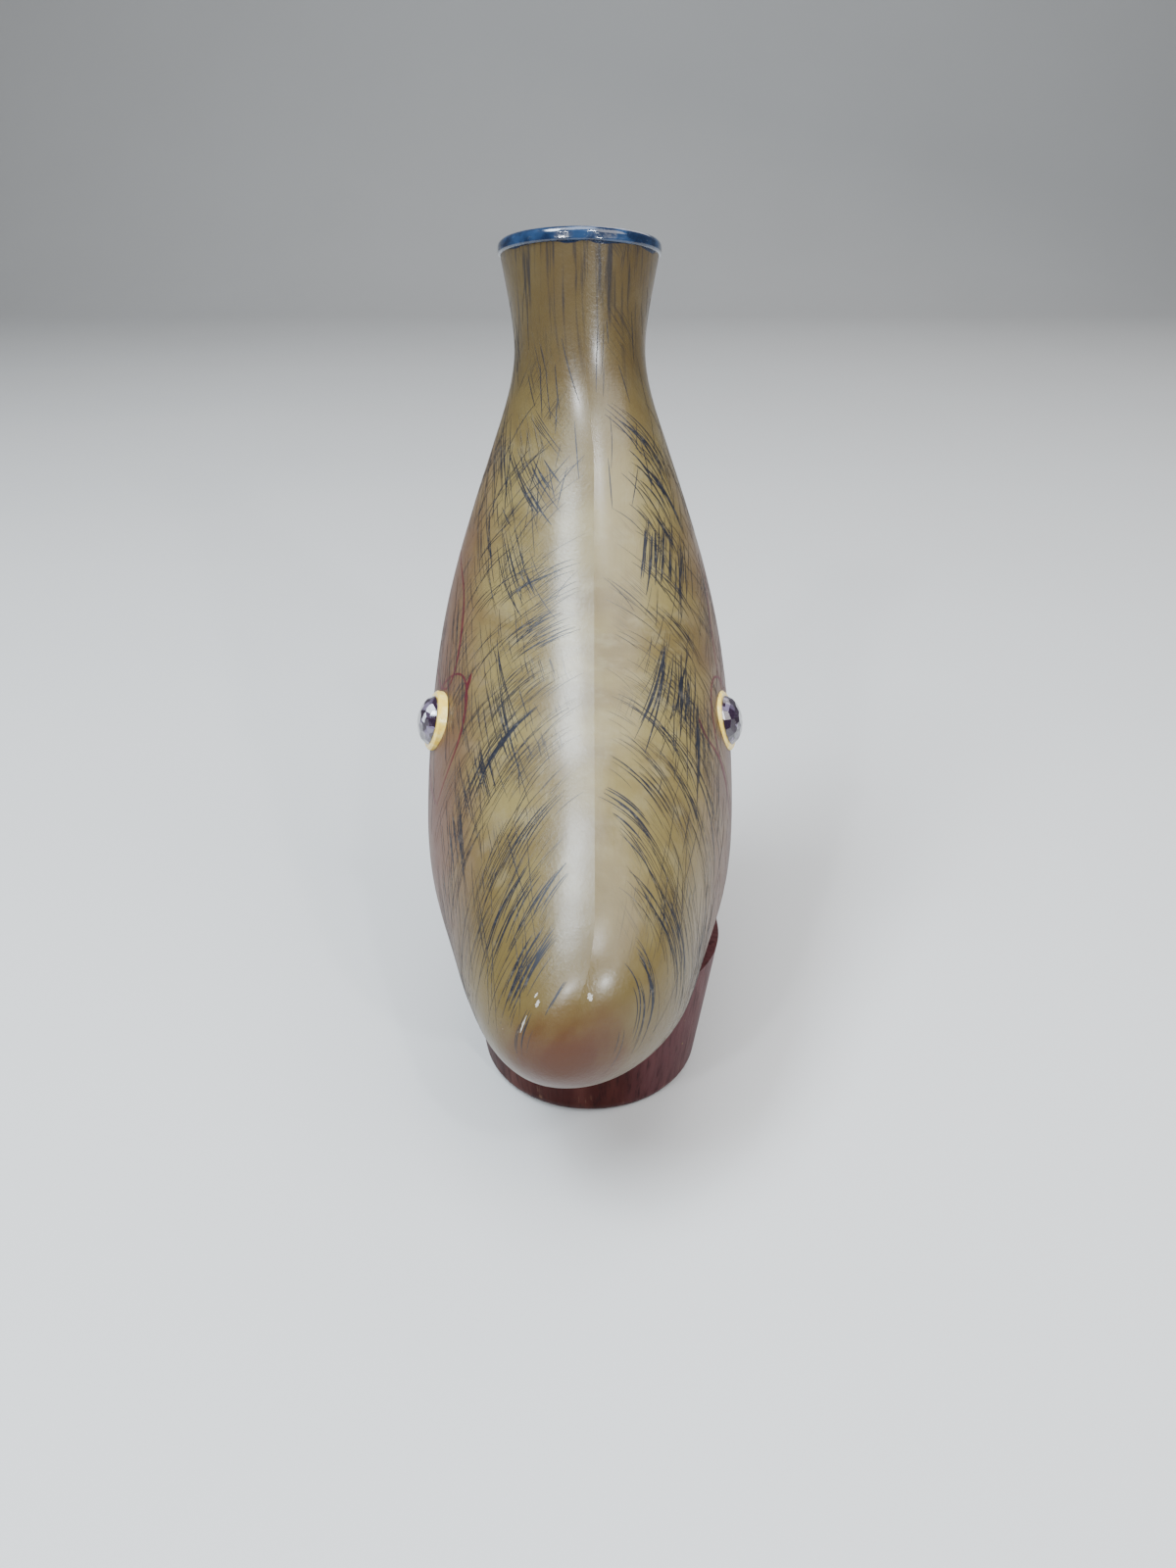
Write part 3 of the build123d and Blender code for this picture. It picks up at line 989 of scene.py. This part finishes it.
def make_chips(body, material):
    """Places at the nose where the paint has come away, as one piece."""
    paint = Paint(body)
    for side, around, along, heading, length, width in CHIPS:
        turned = math.radians(heading)
        share = np.linspace(0, 1, HAIR_STEPS)
        way = np.array((math.cos(turned), -math.sin(turned)))
        line = np.array((around, along)) + share[:, None] * way * length
        widths = width * np.sin(np.pi * (0.05 + 0.9 * share)) * (1.0 + 0.3 * np.sin(17 * share))
        paint.add(side, line, widths)
    return paint.piece("nose_chips", material)


# ------------------------------------------------------------------ eyes
FOIL_RADIUS = 5.9
FOIL_TOP = 0.01  # below the stone's base
FOIL_UNDERSIDE = 0.08
FOIL_CORNERS = 48
BASE_SLACK = 0.02  # points this close to a stone's lowest one belong to its base


def eye_axis(ring, crystal):
    """The direction that an eye looks in: the one that its ring is thinnest along."""
    spots = np.array([v.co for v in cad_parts[ring].data.vertices])
    middle = (np.array(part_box(ring)[0]) + np.array(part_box(ring)[1])) / 2
    _, axes = np.linalg.eigh(np.cov((spots - middle).T))
    axis = axes[:, 0]
    stone = np.array([v.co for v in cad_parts[crystal].data.vertices])
    return -axis if (stone.mean(0) - middle) @ axis < 0 else axis


def make_foil(name, ring, crystal, material):
    """A thin silver disc just under a stone."""
    axis = eye_axis(ring, crystal)
    stone = np.array([v.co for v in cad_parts[crystal].data.vertices])
    depth = stone @ axis
    base = stone[depth < depth.min() + BASE_SLACK * MM].mean(0) / MM
    first = np.cross(axis, (0.0, 0.0, 1.0))
    first /= np.linalg.norm(first)
    second = np.cross(axis, first)
    turns = 2 * np.pi * np.arange(FOIL_CORNERS) / FOIL_CORNERS
    circle = FOIL_RADIUS * (np.cos(turns)[:, None] * first + np.sin(turns)[:, None] * second)
    vertices = np.concatenate((base + circle - axis * FOIL_TOP, base + circle - axis * FOIL_UNDERSIDE))
    count = FOIL_CORNERS
    faces = [list(range(count)), list(range(count, 2 * count))]
    faces += [(i, (i + 1) % count, count + (i + 1) % count, count + i) for i in range(count)]
    return new_mesh(name, vertices, faces, [material])


# ------------------------------------------------------------------ floor, lights and camera
STAGE_HALF_WIDTH = 2.5  # metres, as for all of the stage, the lamps and the camera
STAGE_FRONT = -2.5
STAGE_BACK = 1.6
STAGE_BEND = 0.7
STAGE_BEND_STEPS = 24
STAGE_TOP = 3.0

LAMP_TINT = (0.90, 0.95, 1.0)
SHEEN_ROLL = 42.0  # turns the long lamp to run from the nose to the tail

CAMERA_LENS = 27.0  # on a sensor 36 mm wide
CAMERA_AT = (-0.0005, -0.2475, 0.205)
CAMERA_DOWN = 28.0  # degrees below level


def make_stage():
    """A pale floor that curves up into a backdrop."""
    graph = Graph("stage")
    cloud = graph.noise(graph.point(), 0.004, 3.0, 0.5, 1.0)
    tone = graph.mix(cloud, colour(0.52, 0.515, 0.51), colour(0.56, 0.557, 0.554))
    graph.surface(Base_Color=tone, Roughness=0.6)
    profile = [(STAGE_FRONT, 0.0), (STAGE_BACK, 0.0)]
    for step in range(1, STAGE_BEND_STEPS + 1):
        turn = math.pi / 2 * step / STAGE_BEND_STEPS
        rise = STAGE_BEND * (1 - math.cos(turn))
        profile.append((STAGE_BACK + STAGE_BEND * math.sin(turn), rise))
    profile.append((STAGE_BACK + STAGE_BEND, STAGE_TOP))
    mesh = bpy.data.meshes.new("stage")
    vertices = [(x, y, z) for y, z in profile for x in (-STAGE_HALF_WIDTH, STAGE_HALF_WIDTH)]
    faces = [(2 * i, 2 * i + 1, 2 * i + 3, 2 * i + 2) for i in range(len(profile) - 1)]
    mesh.from_pydata(vertices, [], faces)
    mesh.materials.append(graph.material)
    mesh.polygons.foreach_set("use_smooth", [True] * len(mesh.polygons))
    stage = bpy.data.objects.new("stage", mesh)
    bpy.context.scene.collection.objects.link(stage)


def soft_light(name, place, target, width, height, watts, tint, roll=0.0):
    """A rectangular lamp that faces a point, turned about its own axis by degrees."""
    data = bpy.data.lights.new(name, "AREA")
    data.shape = "RECTANGLE"
    data.size = width
    data.size_y = height
    data.energy = watts
    data.color = tint
    lamp = bpy.data.objects.new(name, data)
    lamp.location = place
    facing = (Vector(target) - Vector(place)).to_track_quat("-Z", "Y")
    lamp.rotation_euler = (facing @ Quaternion((0, 0, 1), math.radians(roll))).to_euler()
    bpy.context.scene.collection.objects.link(lamp)


def light_scene():
    """Soft daylight from above, and small lamps that give the highlights of the photograph."""
    middle = (0.0, 0.0, 0.09)
    soft_light("ceiling", (-0.15, -0.10, 1.50), middle, 1.1, 1.2, 26.0, LAMP_TINT)
    soft_light("sheen", (-0.53, -0.27, 1.08), middle, 0.30, 0.70, 20.0, (0.80, 0.91, 1.0), SHEEN_ROLL)
    soft_light("right_fill", (0.75, -0.45, 1.0), middle, 0.8, 0.8, 9.0, (1.0, 0.97, 0.93))
    soft_light("behind", (0.5, 1.3, 1.2), middle, 1.0, 1.0, 6.0, (1.0, 0.97, 0.95))
    soft_light("crest_lamp", (0.307, -0.58, 0.859), (0.0, -0.05, 0.06), 0.045, 0.09, 2.6, LAMP_TINT)
    soft_light("neck_lamp_right", (0.444, -0.80, 0.474), (0.0, 0.04, 0.16), 0.045, 0.045, 4.4, LAMP_TINT)
    soft_light("neck_lamp_left", (-0.387, -0.747, 0.644), (0.0, 0.04, 0.16), 0.055, 0.055, 4.0, LAMP_TINT)
    world = bpy.data.worlds.new("studio")
    world.use_nodes = True
    background = world.node_tree.nodes["Background"]
    background.inputs[0].default_value = colour(0.92, 0.93, 0.95)
    background.inputs[1].default_value = 0.15
    bpy.context.scene.world = world


def place_camera():
    """A phone held close, a little above the fish, in front of its nose."""
    data = bpy.data.cameras.new("camera")
    data.lens = CAMERA_LENS
    data.sensor_width = 36.0
    data.clip_start = 0.01
    camera = bpy.data.objects.new("camera", data)
    camera.location = CAMERA_AT
    camera.rotation_euler = (math.radians(90.0 - CAMERA_DOWN), 0.0, 0.0)
    bpy.context.scene.collection.objects.link(camera)
    bpy.context.scene.camera = camera


# ------------------------------------------------------------------ the whole object
def finish_piece(piece, slot, *replaced):
    """A new piece rides on the body and stands for CAD nodes, which are hidden; slot is not used."""
    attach(piece, "root")
    if replaced:
        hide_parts(*replaced)


def give_material(node, material):
    """A CAD piece keeps its shape and takes a better material."""
    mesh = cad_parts[node].data
    mesh.materials.clear()
    mesh.materials.append(material)


def main():
    body = Body()
    paint = painted_body()
    inside = bare_wood("bare_wood", colour(0.46, 0.32, 0.18), colour(0.26, 0.16, 0.08))
    ink = line_paint("stroke_ink", STROKE_INK, colour(0.060, 0.055, 0.050), 31.0)
    red = line_paint("red_line", colour(0.070, 0.005, 0.010), colour(0.105, 0.018, 0.016), 32.0)
    yellow, glass, silver = yellow_paint(), crystal_glass(), foil()
    for side, word in ((-1, "left"), (1, "right")):
        half = make_half(body, side, f"painted_half_{word}", (paint, inside))
        finish_piece(half, "painted_body", f"body_{word}")
        finish_piece(make_strokes(body, f"brush_strokes_{word}", side, ink), "painted_body")
        finish_piece(make_red_lines(body, f"red_lines_{word}", side, red), "painted_body")
        ring, crystal = f"eye_ring_{word}", f"eye_crystal_{word}"
        finish_piece(make_foil(f"eye_foil_{word}", ring, crystal, silver), "crystal")
        give_material(ring, yellow)
        give_material(crystal, glass)
    chipped = line_paint("chipped_ground", colour(0.33, 0.31, 0.27), colour(0.16, 0.12, 0.07), 34.0)
    finish_piece(make_chips(body, chipped), "painted_body")
    give_material("foot", foot_wood())
    give_material("tail_lip", lacquer())
    make_stage()
    light_scene()
    place_camera()


main()
